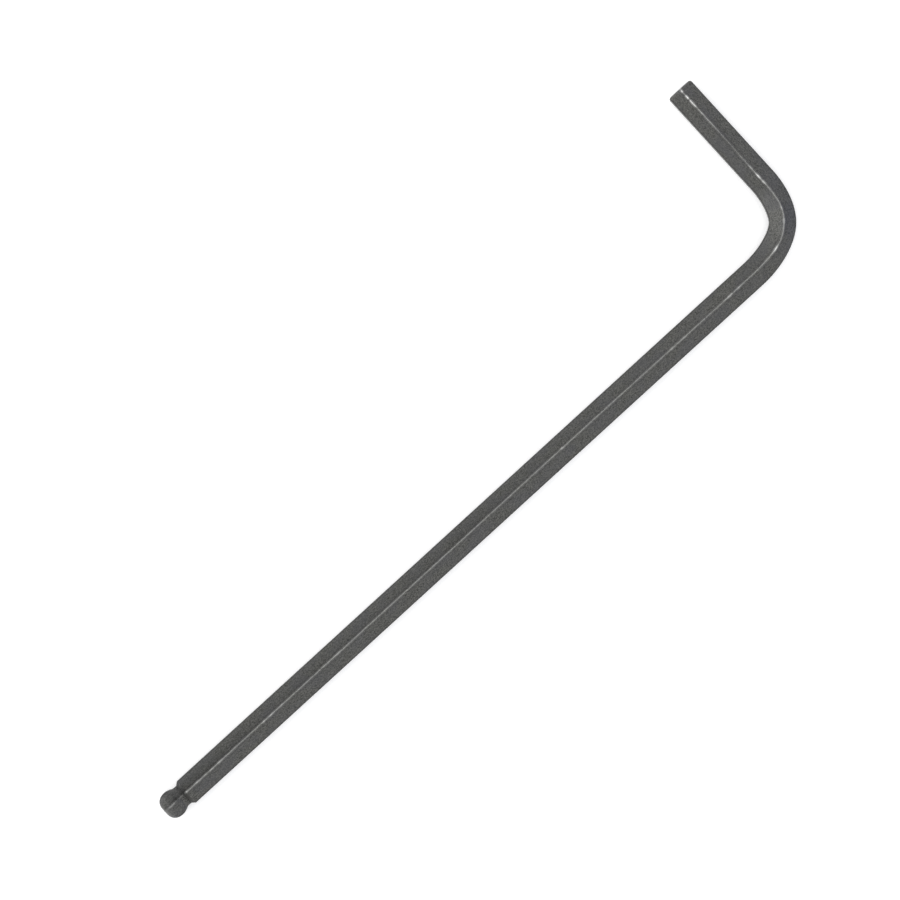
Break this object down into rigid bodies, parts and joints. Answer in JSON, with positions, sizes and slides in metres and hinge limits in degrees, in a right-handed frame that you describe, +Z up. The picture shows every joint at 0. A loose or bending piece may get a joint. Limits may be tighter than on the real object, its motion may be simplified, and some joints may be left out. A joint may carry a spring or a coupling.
{
  "type": "hex key",
  "caption": "L-shaped hexagonal key with a ball end on its long arm and a square-cut hexagonal end on its short arm.",
  "frame": {"origin": "on the floor, below the middle of the key's bounding box, with the key lying on its lower ridges", "axes": "+X along the long arm from the ball end to the bend, +Y along the short arm from the bend to its end, +Z up, square to the plane of the L"},
  "size_m": [0.146, 0.0334, 0.0054],
  "materials": {
    "blackened_steel": "black oxide, satin"
  },
  "bodies": {
    "root": {"hex_key": "blackened_steel"}
  },
  "joints": []
}
